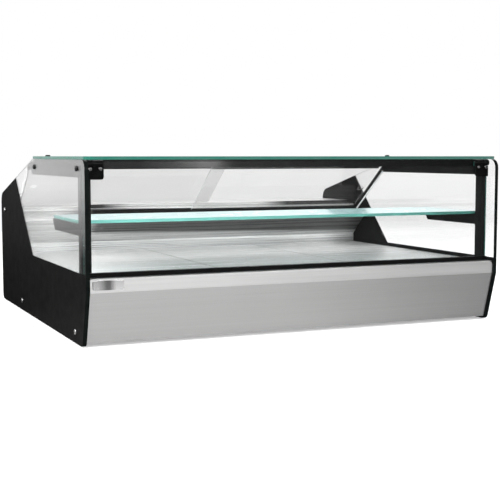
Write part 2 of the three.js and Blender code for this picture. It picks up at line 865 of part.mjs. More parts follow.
// The jambs are strips on the end panels against which the doors close
function jamb(sign, out, from) {
  const low = out - jambBelow;
  const section = doorSection([
    [from + jambBelow, low], [lowerTrackMouth - fit, low],
    [lowerTrackMouth - fit, low + jambWidth], [from, low + jambWidth], [from, out],
  ]);
  return sectionAcross(section, ...span(sign, doorSide + jambGap, bodySide));
}

// A door is drawn flat as [x, along] and laid on the slope
function door(sign, out, top) {
  const edge = sign * doorSide;
  const meeting = edge - sign * doorSpan;
  const low = Math.min(edge, meeting);
  const high = Math.max(edge, meeting);
  const corners = [
    [low, top, doorCorner], [high, top, doorCorner], [high, doorFoot, doorCorner], [low, doorFoot, doorCorner],
  ];
  const hole = circle(edge - sign * fingerHoleInset, fingerHoleAlong, fingerHoleRadius);
  const geometry = extruded(outline(corners, 3), doorThickness, [hole]).translate(0, 0, -doorThickness / 2);
  const [y, z] = onDoorPlane(0, out);
  return geometry.rotateX(-doorSlope).translate(0, y, z);
}

function foot(sign, y) {
  const top = baseHeight - fit;
  const profile = [
    [0, 0], [footRadius - footTaper, 0], [footRadius - footTaper / 2, footTaper / 2],
    [footRadius, top], [0, top],
  ];
  return turned(profile, axisZ).translate(sign * (halfWidth - footInsetSide), y, 0);
}

// The knob has a skirt, a round grip with a bar across it, and the shaft that it turns
function knob() {
  const profile = [
    [0, -sheet - shaftReach], [shaftRadius, -sheet - shaftReach], [shaftRadius, knobGap],
    [knobRadius, knobGap], [knobRadius, knobSkirt], [knobGripRadius, knobSkirt + fit],
    [knobGripRadius - knobGap, knobHeight - knobBar], [0, knobHeight - knobBar],
  ];
  const bar = box(
    -knobBar / 2, knobBar / 2, knobSkirt, knobHeight, -knobGripRadius + knobGap, knobGripRadius - knobGap,
  );
  return joined(turned(profile, axisY, 2 * roundSides), bar).translate(knobX, wallOuter, controlHeight);
}

function thermostat() {
  const rear = wallInner - thermostatGap;
  const half = thermostatSize / 2;
  const block = box(
    knobX - half, knobX + half, rear - thermostatDeep, rear, controlHeight - half, controlHeight + half,
  );
  const bore = circle(knobX, controlHeight, shaftRadius + fit);
  return cut(block, acrossY(bore, rear - shaftReach, rear + overrun));
}

function switchHousing() {
  const outer = wallOuter + fit;
  const flange = rectangle(switchX, controlHeight, switchWide, switchTall);
  const barrel = rectangle(switchX, controlHeight, switchWide - switchWall, switchTall - switchWall);
  const cavity = rectangle(switchX, controlHeight, cavityWide, cavityTall);
  const face = outer + switchFlange;
  const pin = circle(face, controlHeight, rockerPinRadius + fit, roundSides / 2);
  const pinSide = cavityWide / 2 + rockerPinLength;
  return cut(
    joined(acrossY(flange, outer, face), acrossY(barrel, outer - switchBodyDeep, outer + switchFlange / 2)),
    acrossY(cavity, face - switchCavityDeep, face + overrun),
    acrossX(pin.map((spot) => spot.clone().add(new THREE.Vector2(-rockerDeep / 2, 0))),
      switchX - pinSide, switchX + pinSide),
  );
}

// The rocker is drawn level about its pin and stored pressed at its lower end
function rocker() {
  const half = cavityTall / 2 - rockerPlay;
  const pinDeep = rockerDeep / 2;
  const section = [
    [-pinDeep, -half / 2], [rockerDip, -half], [rockerRise, -half], [rockerDip, 0],
    [rockerRise, half], [rockerDip, half], [-pinDeep, half / 2],
  ].map(([y, z]) => new THREE.Vector2(y + pinDeep, z));
  const side = cavityWide / 2 - rockerPlay;
  const pin = circle(0, 0, rockerPinRadius, roundSides / 2);
  const pinSide = side + rockerPinLength;
  const shape = joined(sectionAcross(section, -side, side), acrossX(pin, -pinSide, pinSide));
  const face = wallOuter + fit + switchFlange;
  return shape.rotateX(-rockerTilt).translate(switchX, face - pinDeep, controlHeight);
}

function lamp() {
  const profile = [
    [0, -2 * sheet], [lampStubRadius, -2 * sheet], [lampStubRadius, fit], [lampRadius, fit],
    [lampRadius, lampRise / 2], [lampStubRadius, lampRise], [0, lampRise],
  ];
  return turned(profile, axisY).translate(lampX, wallOuter, controlHeight);
}

function gland() {
  const profile = [
    [glandBore, -2 * sheet], [glandStubRadius, -2 * sheet], [glandStubRadius, fit], [glandRadius, fit],
    [glandRadius, glandFlange], [glandNutRadius, glandFlange + fit], [glandNutRadius, glandRise - glandFlange],
    [glandStubRadius, glandRise], [glandBore, glandRise], [glandBore, -2 * sheet],
  ];
  return turned(profile, axisY).translate(glandX, wallOuter, glandHeight);
}

add('glass_top', topGlass(), 'clearGlass');
add('shelf_glass', shelf(), 'clearGlass');
add('front_rail', frontRail(), 'blackMetal');
add('front_glass', frontGlass(), 'clearGlass');
add('front_glass_profile', frontGlassProfile(), 'blackMetal');
add('fascia', fascia(), 'steel');
deckPlates.forEach((place, index) => {
  const left = -sheetSide + index * (deckPlateWide + deckSeamGap);
  add(`deck_plate_${place}`, deckSheet(ledgeDepth + fit, deckSeam, left, left + deckPlateWide), 'steel');
  add(`element_${place}`, element(left + deckPlateWide / 2), 'element');
});
add('deck_strip', deckSheet(deckSeam + deckSeamGap, deckRear, -sheetSide, sheetSide), 'steel');
add('shield', shield(), 'steel');
add('cabin_back', cabinBack(), 'steel');
add('server_ledge', serverLedge(), 'steel');
add('base_pan', basePan(), 'steel');
add('rear_wall', rearWall(), 'steel');
add('header', header(), 'blackMetal');
add('lower_track_inner', lowerTrack(0), 'blackPlastic');
add('lower_track_outer', lowerTrack(doorSpacing), 'blackPlastic');
add('left_jamb', jamb(-1, doorSpacing, outerMouth + fit), 'blackPlastic');
add('right_jamb', jamb(1, 0, innerMouth + fit), 'blackPlastic');
add('left_door', door(-1, doorSpacing, outerDoorTop), 'acrylic');
add('right_door', door(1, 0, innerDoorTop), 'acrylic');
add('thermostat', thermostat(), 'blackPlastic');
add('knob', knob(), 'blackPlastic');
add('switch_housing', switchHousing(), 'blackPlastic');
add('rocker', rocker(), 'blackPlastic');
add('lamp', lamp(), 'amber');
add('gland', gland(), 'blackPlastic');
sides.forEach(([side, sign]) => {
  add(`${side}_end_panel`, endPanel(sign), 'clearGlass');
  add(`${side}_frame`, sideFrame(sign), 'blackMetal');
  add(`${side}_cheek`, cheek(sign), 'steel');
  add(`${side}_hinge_lug`, hingeLug(sign), 'blackMetal');
  add(`${side}_glass_clamp`, glassClamp(sign), 'blackMetal');
  [...frameBolts, ...bodyBolts].forEach(([place, y, z]) => {
    add(`${side}_bolt_${place}`, bolt(sign, y, z), 'boltSteel');
  });
  add(`${side}_bolt_top`, topBolt(sign), 'boltSteel');
  add(`${side}_foot_front`, foot(sign, footInsetFront), 'rubber');
  add(`${side}_foot_rear`, foot(sign, depth - footInsetFront), 'rubber');
});

export default displayCase;
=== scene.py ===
"""A heated display case on a plain pale floor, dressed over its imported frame.

Metres, in the frame of the solids: +Z up, +Y to the back, +X to the right, with the origin in the middle of
the footprint.
"""
import math

import bmesh
import bpy
from mathutils import Matrix, Vector


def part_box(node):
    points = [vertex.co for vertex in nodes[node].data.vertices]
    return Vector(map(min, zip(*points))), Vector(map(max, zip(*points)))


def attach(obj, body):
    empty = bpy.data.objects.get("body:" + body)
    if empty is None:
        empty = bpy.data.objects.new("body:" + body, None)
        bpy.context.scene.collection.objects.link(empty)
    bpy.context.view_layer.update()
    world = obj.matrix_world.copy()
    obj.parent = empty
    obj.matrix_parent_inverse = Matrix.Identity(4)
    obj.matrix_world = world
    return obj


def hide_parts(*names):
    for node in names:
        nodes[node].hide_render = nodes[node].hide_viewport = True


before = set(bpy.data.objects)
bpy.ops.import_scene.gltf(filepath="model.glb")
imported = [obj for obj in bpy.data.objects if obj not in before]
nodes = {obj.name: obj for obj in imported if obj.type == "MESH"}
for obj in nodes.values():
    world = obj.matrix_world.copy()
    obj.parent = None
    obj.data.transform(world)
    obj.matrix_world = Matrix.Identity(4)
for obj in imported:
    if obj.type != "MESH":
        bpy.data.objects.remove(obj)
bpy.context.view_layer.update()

SIDES = (("left", -1), ("right", 1))
CABINET = "cabinet"
WINDOW = "front_window"


# Node helpers

COLOUR_MIX_INPUTS = (0, 6, 7)
COLOUR_MIX_OUTPUT = 2
MAP_RANGE_INPUTS = ("Value", "From Min", "From Max", "To Min", "To Max")
# The values between which most of a noise's pattern lies
NOISE_SPAN = (0.3, 0.7)
NOISE_MIDDLE = 0.5
NOISE_ROUGHNESS = 0.55
WHITE = (1.0, 1.0, 1.0)


class Shade:
    """A material or a world under construction, with short calls for the nodes that the looks use."""

    def __init__(self, owner, output="ShaderNodeOutputMaterial"):
        self.owner = owner
        self.owner.use_nodes = True
        self.tree = self.owner.node_tree
        self.tree.nodes.clear()
        self.output = self.node(output)
        self.coords = self.node("ShaderNodeTexCoord")

    def node(self, kind, **values):
        made = self.tree.nodes.new(kind)
        for key, value in values.items():
            setattr(made, key, value)
        return made

    def link(self, source, target):
        self.tree.links.new(source, target)

    def feed(self, socket, value):
        """Sets a socket to a number or a colour, or links it to another node's output."""
        if isinstance(value, (int, float)):
            socket.default_value = value
        elif isinstance(value, tuple):
            socket.default_value = (*value, 1)
        else:
            self.link(value, socket)

    def math(self, operation, *values):
        made = self.node("ShaderNodeMath", operation=operation)
        for socket, value in zip(made.inputs, values):
            self.feed(socket, value)
        return made.outputs[0]

    def axes(self, output="Object"):
        split = self.node("ShaderNodeSeparateXYZ")
        self.link(self.coords.outputs[output], split.inputs[0])
        return split.outputs

    def noise(self, scale, stretch=(1, 1, 1), detail=4.0):
        mapping = self.node("ShaderNodeMapping")
        mapping.inputs["Scale"].default_value = stretch
        self.link(self.coords.outputs["Object"], mapping.inputs["Vector"])
        made = self.node("ShaderNodeTexNoise")
        made.inputs["Scale"].default_value = scale
        made.inputs["Detail"].default_value = detail
        made.inputs["Roughness"].default_value = NOISE_ROUGHNESS
        self.link(mapping.outputs["Vector"], made.inputs["Vector"])
        return made.outputs["Fac"]

    def ramp(self, factor, *stops):
        """A run of colours, from pairs of a place and a colour or a level of grey."""
        made = self.node("ShaderNodeValToRGB")
        elements = made.color_ramp.elements
        while len(elements) < len(stops):
            elements.new(0.5)
        for element, (place, colour) in zip(elements, stops):
            element.position = place
            element.color = (*(tone(colour) if isinstance(colour, float) else colour), 1)
        self.link(factor, made.inputs["Fac"])
        return made.outputs["Color"]

    def mottled(self, pattern, low, high):
        """A colour or a grey that changes from low to high with a noise."""
        return self.ramp(pattern, *zip(NOISE_SPAN, (low, high)))

    def along(self, value, start, end, low=0.0, high=1.0):
        """low at start and high at end of a value, held beyond them."""
        made = self.node("ShaderNodeMapRange")
        for name, amount in zip(MAP_RANGE_INPUTS, (value, start, end, low, high)):
            self.feed(made.inputs[name], amount)
        return made.outputs["Result"]

    def spread(self, pattern, low, high):
        """A number that changes from low to high with a noise."""
        return self.along(pattern, *NOISE_SPAN, low, high)

    def bump(self, height, distance):
        made = self.node("ShaderNodeBump")
        made.inputs["Distance"].default_value = distance
        self.link(height, made.inputs["Height"])
        return made.outputs["Normal"]

    def principled(self, **values):
        made = self.node("ShaderNodeBsdfPrincipled")
        for key, value in values.items():
            self.feed(made.inputs[key.replace("_", " ")], value)
        return made.outputs[0]

    def mix(self, factor, first, second):
        made = self.node("ShaderNodeMixShader")
        for socket, source in zip(made.inputs, (factor, first, second)):
            self.link(source, socket)
        return made.outputs[0]

    def blend(self, factor, first, second, kind="MIX"):
        made = self.node("ShaderNodeMix", data_type="RGBA", blend_type=kind)
        for index, value in zip(COLOUR_MIX_INPUTS, (factor, first, second)):
            self.feed(made.inputs[index], value)
        return made.outputs[COLOUR_MIX_OUTPUT]

    def times(self, first, second):
        """The product of two colours."""
        return self.blend(1.0, first, second, "MULTIPLY")

    def finish(self, shader):
        self.link(shader, self.output.inputs["Surface"])
        return self.owner


def new_material(name):
    """The Shade of a new material."""
    return Shade(bpy.data.materials.new(name))


def tone(level, warm=0.0):
    """A grey, or a slightly warm one."""
    return (level * (1 + warm), level, level * (1 - warm))


def between(colour, amount):
    """The colour a little darker and a little lighter."""
    return tuple(c * (1 - amount) for c in colour), tuple(min(c * (1 + amount), 1) for c in colour)


# Kinds of finish

# How much finer the bump of paint is than its mottling
FINE_GRAIN = 14
# Brushed steel: the scales of its patterns, across and along the brushing, and their shares of its tone
LINE_SCALES = (1400.0, 3.0)
BAND_SCALES = (220.0, 1.2)
DRIFT_SCALE = 3.2
LINE_SHARE = 0.55
BAND_SHARE = 0.3
DRIFT_SHARE = 0.15
STEEL_SPAN = (0.34, 0.66)
STEEL_WARMTH = 0.004
STEEL_BUMP = 0.000012
# Glass: its index, and the scale, span and amount of its smears
GLASS_IOR = 1.5
SMEAR_SCALE = 6.0
SMEAR_SPAN = (0.35, 0.65)
SMEAR_AMOUNT = 0.012
# A face counts as turned to an axis where its normal reaches this far along it
FACE_LIMIT = 0.7
# Ground edges: streaks that are finer up the edge, and how far they shift its colour
EDGE_STREAKS = (30.0, 30.0, 180.0)
EDGE_SHIFT = 0.5
# A pale layer painted on a pane as a reflection of the pale room, and how far its share drifts
PAINTED_GLARE_LOW = (0.60, 0.88, 0.90)
PAINTED_GLARE_HIGH = (0.68, 0.93, 0.95)
PAINTED_GLARE_DRIFT = 0.1
# The stretch of x over which the painted light of the lamp at the left end of the case gives out on the
# pieces at the back
LEFT_END = (-0.345, -0.27)


def plain(name, colour, roughness=(0.35, 0.5), scale=90.0, vary=0.12, bump=0.00004, **values):
    """Paint, plastic or rubber: slight mottling, uneven gloss and a fine bump."""
    shade = new_material(name)
    soft = shade.noise(scale)
    fine = shade.noise(scale * FINE_GRAIN, detail=2.0)
    return shade.finish(shade.principled(
        Base_Color=shade.mottled(soft, *between(colour, vary)),
        Roughness=shade.spread(soft, *roughness),
        Normal=shade.bump(fine, bump),
        **values,
    ))


def stretched(scales, along):
    """The scales of a pattern on the three axes, from its scale across and along a direction."""
    across, lengthways = scales
    return tuple(lengthways if axis == along else across for axis in "XYZ")


def brushed(name, level, along, roughness=(0.26, 0.4), vary=0.09, metal=1.0, painted_light=None):
    """Brushed steel: long fine lines along one axis, with a slow drift of tone across the sheet.

    shine takes the Shade and gives a colour of painted light and shade, which multiplies the steel's own.
    """
    shade = new_material(name)
    lines = shade.noise(1.0, stretched(LINE_SCALES, along), detail=3.0)
    bands = shade.noise(1.0, stretched(BAND_SCALES, along), detail=2.0)
    drift = shade.noise(DRIFT_SCALE, detail=2.0)
    mixed = shade.math("MULTIPLY_ADD", drift, DRIFT_SHARE, shade.math("MULTIPLY", bands, BAND_SHARE))
    mixed = shade.math("MULTIPLY_ADD", lines, LINE_SHARE, mixed)
    colour = shade.ramp(mixed, *zip(STEEL_SPAN, between(tone(level, STEEL_WARMTH), vary)))
    if painted_light:
        colour = shade.times(colour, painted_light(shade))
    return shade.finish(shade.principled(
        Base_Color=colour,
        Metallic=metal,
        Roughness=shade.spread(mixed, *roughness),
        Normal=shade.bump(lines, STEEL_BUMP),
    ))


def glass_shader(shade, tint, gloss, drift=None):
    """Clear glass that lets the lamps' light through to what lies behind it.

    drift is a colour that multiplies its own.
    """
    smear = shade.noise(SMEAR_SCALE, detail=3.0)
    colour = shade.ramp(smear, *zip(SMEAR_SPAN, between(tint, SMEAR_AMOUNT)))
    if drift:
        colour = shade.times(colour, drift)
    glass = shade.principled(
        Base_Color=colour,
        Roughness=0.0,
        IOR=GLASS_IOR,
        Specular_IOR_Level=gloss,
        Transmission_Weight=1.0,
    )
    clear = shade.node("ShaderNodeBsdfTransparent")
    shade.feed(clear.inputs["Color"], tint)
    path = shade.node("ShaderNodeLightPath")
    return shade.mix(path.outputs["Is Shadow Ray"], glass, clear.outputs[0])


def edge_mask(shade, axis):
    """1 on the narrow faces of a pane, 0 on its two large faces."""
    normal = shade.axes("Normal")[axis]
    return shade.math("LESS_THAN", shade.math("ABSOLUTE", normal), FACE_LIMIT)


def pane(name, axis, tint, edge_left, edge_right, gloss=0.5, painted_glare=0.0, span=(-0.5, 0.5), left_end=1.0):
    """A clear pane with ground edges, whose colour drifts over the span from the left to the right.

    haze is the share of a pale layer painted on the pane, as a reflection of the pale room.
    left_end is the tone that darkens the pane at the left end of the case.
    """
    shade = new_material(name)
    x = shade.axes()["X"]
    streaks = shade.noise(1.0, EDGE_STREAKS, detail=3.0)
    shift = shade.math("MULTIPLY", shade.math("SUBTRACT", streaks, NOISE_MIDDLE), EDGE_SHIFT)
    place = shade.math("ADD", shade.along(x, *span), shift)
    edge = shade.principled(
        Base_Color=shade.ramp(place, (0.0, edge_left), (1.0, edge_right)),
        Roughness=shade.spread(streaks, 0.12, 0.3),
        Specular_IOR_Level=0.25,
    )
    drift = None
    if left_end < 1.0:
        drift = shade.ramp(shade.along(x, *LEFT_END), (0.0, left_end), (1.0, 1.0))
    clear = glass_shader(shade, tint, gloss, drift)
    # Painted reflection: a pale layer over the glass
    if painted_glare:
        glare_layer = shade.principled(Base_Color=shade.mottled(streaks, PAINTED_GLARE_LOW, PAINTED_GLARE_HIGH), Roughness=0.35)
        amount = shade.spread(streaks, painted_glare * (1 - PAINTED_GLARE_DRIFT), painted_glare * (1 + PAINTED_GLARE_DRIFT))
        clear = shade.mix(amount, clear, glare_layer)
    return shade.finish(shade.mix(edge_mask(shade, axis), clear, edge))


# Glass and acrylic

TOP_TINT = (0.95, 0.98, 0.97)
SHELF_TINT = (0.93, 0.98, 0.975)
CLEAR_TINT = (0.996, 1.0, 0.998)
TEAL = (0.016, 0.125, 0.092)
TEAL_GREY = (0.045, 0.115, 0.095)
# The shelf's edge is painted darker to the right, as shade from the dark behind it
SHELF_LIGHT = (0.15, 0.42, 0.375)
SHELF_PAINTED_SHADE = (0.018, 0.085, 0.068)
WINDOW_EDGE = (0.03, 0.09, 0.075)
DOOR_EDGE = (0.80, 0.81, 0.81)
DOOR_END = (0.004, 0.004, 0.004)
DOOR_EDGE_SPAN = (0.35, 0.43)

top_glass = pane("top_glass", "Z", TOP_TINT, TEAL, TEAL_GREY)
shelf_glass = pane("shelf_glass", "Z", SHELF_TINT, SHELF_LIGHT, SHELF_PAINTED_SHADE, painted_glare=0.3)
window_glass = pane("window_glass", "Y", CLEAR_TINT, WINDOW_EDGE, WINDOW_EDGE, gloss=0.08)
left_door_acrylic = pane("left_door_acrylic", "Z", tone(0.885), DOOR_EDGE, DOOR_END, gloss=0.3,
                         span=DOOR_EDGE_SPAN, left_end=0.86)
right_door_acrylic = pane("right_door_acrylic", "Z", tone(0.985), DOOR_EDGE, DOOR_END, gloss=0.3,
                          span=DOOR_EDGE_SPAN)

# The print of the end panels: the sill of its window, and two places (y, z) on the window's slanted end
WINDOW_SILL = 0.138
PRINT_CORNER = (0.050, 0.140)
PRINT_SHOULDER = (0.217, 0.304)
PRINT_BLACK = (0.006, 0.010)
PRINT_SCALE = 40.0
PRINT_GRAIN_SCALE = 900.0
PRINT_BUMP = 0.000006
# The heights over which the panels' gloss changes, the y where their bare slope starts, and their edges
MIRROR_HEIGHTS = (0.150, 0.285)
SLOPE_START = 0.036
BLACK_EDGE = ((0.003, 0.004, 0.004), (0.005, 0.007, 0.006))
PALE_EDGE = ((0.80, 0.84, 0.83), (0.86, 0.90, 0.89))


def end_panel_glass(name, low, high):
    """Clear glass with a black print: all below the window's sill, and all behind its slanted end.

    The edge is black too, but for the bare slope at the back.
    low and high are the glass at the sill and near the top, each a tint and a gloss.
    """
    shade = new_material(name)
    _, y, z = shade.axes()
    run = Vector(PRINT_SHOULDER) - Vector(PRINT_CORNER)
    run.normalize()
    behind = shade.math("SUBTRACT",
                        shade.math("MULTIPLY", shade.math("SUBTRACT", y, PRINT_CORNER[0]), run.y),
                        shade.math("MULTIPLY", shade.math("SUBTRACT", z, PRINT_CORNER[1]), run.x))
    below = shade.math("SUBTRACT", WINDOW_SILL, z)
    printed = shade.math("GREATER_THAN", shade.math("MAXIMUM", behind, below), 0.0)
    mottle = shade.noise(PRINT_SCALE, detail=3.0)
    black = shade.principled(
        Base_Color=shade.mottled(mottle, *PRINT_BLACK),
        Roughness=shade.spread(mottle, 0.34, 0.42),
        Specular_IOR_Level=0.0,
        Coat_Weight=0.06,
        Coat_Roughness=0.3,
        Normal=shade.bump(shade.noise(PRINT_GRAIN_SCALE, detail=1.0), PRINT_BUMP),
    )
    bare_slope = shade.math("MULTIPLY", shade.math("SUBTRACT", 1.0, printed),
                            shade.math("GREATER_THAN", y, SLOPE_START))
    black_edge = shade.mottled(mottle, *BLACK_EDGE)
    pale_edge = shade.mottled(mottle, *PALE_EDGE)
    edge = shade.principled(
        Base_Color=shade.blend(bare_slope, black_edge, pale_edge),
        Roughness=shade.spread(mottle, 0.25, 0.35),
        Specular_IOR_Level=0.02,
    )
    height = shade.along(z, *MIRROR_HEIGHTS)
    clear = shade.mix(height, glass_shader(shade, *low), glass_shader(shade, *high))
    faces = shade.mix(printed, clear, black)
    return shade.finish(shade.mix(edge_mask(shade, "X"), faces, edge))


left_panel_glass = end_panel_glass("left_panel_glass", (CLEAR_TINT, 0.08), (tone(0.82), 0.5))
right_panel_glass = end_panel_glass("right_panel_glass", (CLEAR_TINT, 0.05), (CLEAR_TINT, 0.05))


# Steel and tracks

# Spans are stretches in metres, and for the fold a stretch of the normal's Z.
# Tones are pairs of a place on the span and a level.
# These tones are painted light and shade: painted reflections on the steel front and the outer track, painted
# light and shade on the back of the cabin and the deck, and painted shade in the deck's seams.
FOLD_SPAN = (-0.02, -0.08)
FOLD_TONES = ((0.0, 1.04), (1.0, 0.83))
FRONT_SPAN = (-0.45, -0.05)
FRONT_TONES = ((0.0, 0.88), (1.0, 1.0))
BACK_SPAN = (0.130, 0.240)
BACK_TONES = ((0.0, 0.5), (0.145, 0.5), (0.2, 0.85), (0.318, 0.75), (0.38, 0.13), (0.85, 0.16), (0.885, 0.9))
# How far the tones of the cabin back rise per metre to the left
BACK_RISE = 0.0176
DECK_DEPTH = (-0.32, -0.02)
DECK_TONES = ((0.0, 0.44), (1.0, 0.62))
DECK_LEFT = (-0.42, -0.2)
DECK_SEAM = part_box("deck_plate_right")[0][0]
SEAM_SPAN = (0.0006, 0.0022)
SEAM_SHADE_TONES = ((0.0, 0.45), (1.0, 1.0))
TRACK_SPAN = (-0.44, 0.44)
TRACK_TONES = ((0.0, 1.0), (0.152, 1.0), (0.19, 0.05), (0.22, 0.06), (0.3, 1.0), (0.7, 1.0), (0.78, 0.04),
               (1.0, 0.03))
TRACK_BLACK = (0.007, 0.009)
TRACK_PAINTED_LIGHT = (0.6, 0.66)
PLASTIC_SCALE = 160.0


def front_painted_reflection(shade):
    """Painted reflection: the upright strip is painted light, as if it mirrored the bright room, the slope
    below it darker, as if it mirrored the floor, and both a little darker at the left.
    """
    fold = shade.ramp(shade.along(shade.axes("Normal")["Z"], *FOLD_SPAN), *FOLD_TONES)
    sweep = shade.ramp(shade.along(shade.axes()["X"], *FRONT_SPAN), *FRONT_TONES)
    return shade.times(fold, sweep)


def back_painted_light(shade):
    """Painted light and reflection: the back of the cabin is painted dark above, as if it mirrored a dark
    room, pale below, as if it mirrored the pale deck, and light at its left end, as if a lamp struck it.
    """
    x, _, z = shade.axes()
    height = shade.math("MULTIPLY_ADD", x, BACK_RISE, z)
    level = shade.ramp(shade.along(height, *BACK_SPAN), *BACK_TONES)
    return shade.blend(shade.along(x, *LEFT_END), WHITE, level)


def deck_painted_light(shade):
    """Painted light and shade: the deck is painted brightest at its left end and lighter towards its back,
    and painted shade darkens the thin seams where its plates meet.
    """
    x, y, _ = shade.axes()
    depth = shade.ramp(shade.along(y, *DECK_DEPTH), *DECK_TONES)
    level = shade.blend(shade.along(x, *DECK_LEFT), WHITE, depth)
    from_seam = shade.math("ABSOLUTE", shade.math("SUBTRACT", shade.math("ABSOLUTE", x), DECK_SEAM))
    return shade.times(level, shade.ramp(shade.along(from_seam, *SEAM_SPAN), *SEAM_SHADE_TONES))


def outer_track_painted_reflection(shade):
    """Painted reflection: the outer track is black, but for its left end and its middle, which are painted
    light as if they mirrored the bright room.
    """
    return shade.ramp(shade.along(shade.axes()["X"], *TRACK_SPAN), *TRACK_TONES)


def inner_track_painted_light():
    """Black plastic, with light painted on where the lamp at the left end strikes it."""
    shade = new_material("inner_track_plastic")
    grain = shade.noise(PLASTIC_SCALE)
    black = shade.mottled(grain, *TRACK_BLACK)
    pale = shade.mottled(grain, *TRACK_PAINTED_LIGHT)
    return shade.finish(shade.principled(
        Base_Color=shade.blend(shade.along(shade.axes()["X"], *LEFT_END), pale, black),
        Roughness=shade.spread(grain, 0.4, 0.55),
        Specular_IOR_Level=0.3,
    ))


steel_front = brushed("steel_front", 0.68, "X", vary=0.05, painted_light=front_painted_reflection)
steel_across = brushed("steel_across", 0.60, "X", vary=0.07)
steel_along = brushed("steel_along", 0.62, "Y")
steel_back = brushed("steel_back", 0.9, "X", roughness=(0.2, 0.36), vary=0.11, metal=0.55, painted_light=back_painted_light)
steel_deck = brushed("steel_deck", 0.96, "X", roughness=(0.2, 0.3), vary=0.04, metal=0.2, painted_light=deck_painted_light)
track_metal = brushed("track_metal", 0.9, "X", roughness=(0.2, 0.3), vary=0.05, metal=0.3,
                      painted_light=outer_track_painted_reflection)
inner_track_plastic = inner_track_painted_light()


# Paint, plastic, rubber and small metal pieces

black_coat = plain("black_coat", tone(0.004), roughness=(0.3, 0.42), scale=120.0, Specular_IOR_Level=0.05)
rail_coat = plain("rail_coat", tone(0.003), roughness=(0.04, 0.07), scale=60.0, bump=0.0000005,
                  Specular_IOR_Level=1.0, Coat_Weight=0.4, Coat_Roughness=0.05)
black_plastic = plain("black_plastic", tone(0.008), roughness=(0.4, 0.55), scale=PLASTIC_SCALE,
                      Specular_IOR_Level=0.3)
black_gloss = plain("black_gloss", tone(0.0025), roughness=(0.14, 0.24), scale=60.0, Specular_IOR_Level=0.06)
black_deep = plain("black_deep", tone(0.0025), roughness=(0.3, 0.42), scale=120.0, Specular_IOR_Level=0.03)
black_seal = plain("black_seal", tone(0.004), roughness=(0.5, 0.6), scale=150.0, Specular_IOR_Level=0.1)
rubber = plain("rubber", tone(0.014), roughness=(0.7, 0.85), scale=200.0, bump=0.0001)
element_steel = plain("element_steel", (0.075, 0.066, 0.06), roughness=(0.45, 0.65), scale=35.0, vary=0.35,
                      Metallic=0.8)
bolt_metal = plain("bolt_metal", tone(0.03), roughness=(0.22, 0.35), scale=300.0, vary=0.25, Metallic=1.0)
bright_metal = plain("bright_metal", tone(0.55), roughness=(0.16, 0.28), scale=300.0, vary=0.12, Metallic=1.0)
screw_metal = plain("screw_metal", tone(0.32), roughness=(0.2, 0.32), scale=300.0, vary=0.2, Metallic=1.0)
clamp_metal = plain("clamp_metal", tone(0.13), roughness=(0.16, 0.28), scale=300.0, vary=0.2, Metallic=1.0)
amber = plain("amber", (0.85, 0.33, 0.03), roughness=(0.1, 0.2), scale=80.0, Transmission_Weight=0.35)
white_paint = plain("white_paint", tone(0.8), roughness=(0.4, 0.5), scale=100.0)

NAME_PLATE = dict(left=-0.439, right=-0.379, bottom=0.110, top=0.128, thickness=0.0009, corner=0.0035,
                  corner_steps=6, bevel=0.0003)
PLATE_REFLECTION_TONES = ((0.0, 0.35), (0.04, 0.65), (0.2, 0.6), (0.45, 0.2), (0.55, 0.2), (0.75, 0.85), (1.0, 0.85))
PLATE_SCALE = 400.0
# The doors' upper normal as (y, z), and how far along it the pale lip of the jambs reaches
DOOR_NORMAL = (0.5976, 0.8018)
LIP_DEPTH = 0.2955
JAMB_BLACK = (0.003, 0.005)
JAMB_PALE = (0.86, 0.92)


def plate_painted_reflection():
    """Bright metal with a painted reflection that runs from light through dark to light along the plate."""
    shade = new_material("plate_metal")
    along = shade.along(shade.axes()["X"], NAME_PLATE["left"], NAME_PLATE["right"])
    return shade.finish(shade.principled(
        Base_Color=shade.ramp(along, *PLATE_REFLECTION_TONES),
        Metallic=1.0,
        Roughness=shade.spread(shade.noise(PLATE_SCALE), 0.14, 0.22),
    ))


def jamb_finish():
    """Black plastic, painted pale on a lip and on the face that is stuck to the end panel."""
    shade = new_material("jamb_plastic")
    grain = shade.noise(PLASTIC_SCALE)
    x, y, z = shade.axes()
    outward = shade.math("MULTIPLY", shade.axes("Normal")["X"], shade.math("SIGN", x))
    body = shade.principled(
        Base_Color=shade.mottled(grain, *JAMB_BLACK),
        Roughness=shade.spread(grain, 0.4, 0.5),
        Specular_IOR_Level=0.05,
    )
    pale_face = shade.principled(Base_Color=shade.mottled(grain, *JAMB_PALE), Roughness=0.6)
    depth = shade.math("ADD", shade.math("MULTIPLY", y, DOOR_NORMAL[0]),
                       shade.math("MULTIPLY", z, DOOR_NORMAL[1]))
    pale = shade.math("MAXIMUM", shade.math("LESS_THAN", depth, LIP_DEPTH),
                      shade.math("GREATER_THAN", outward, FACE_LIMIT))
    return shade.finish(shade.mix(pale, body, pale_face))


plate_metal = plate_painted_reflection()
jamb_plastic = jamb_finish()

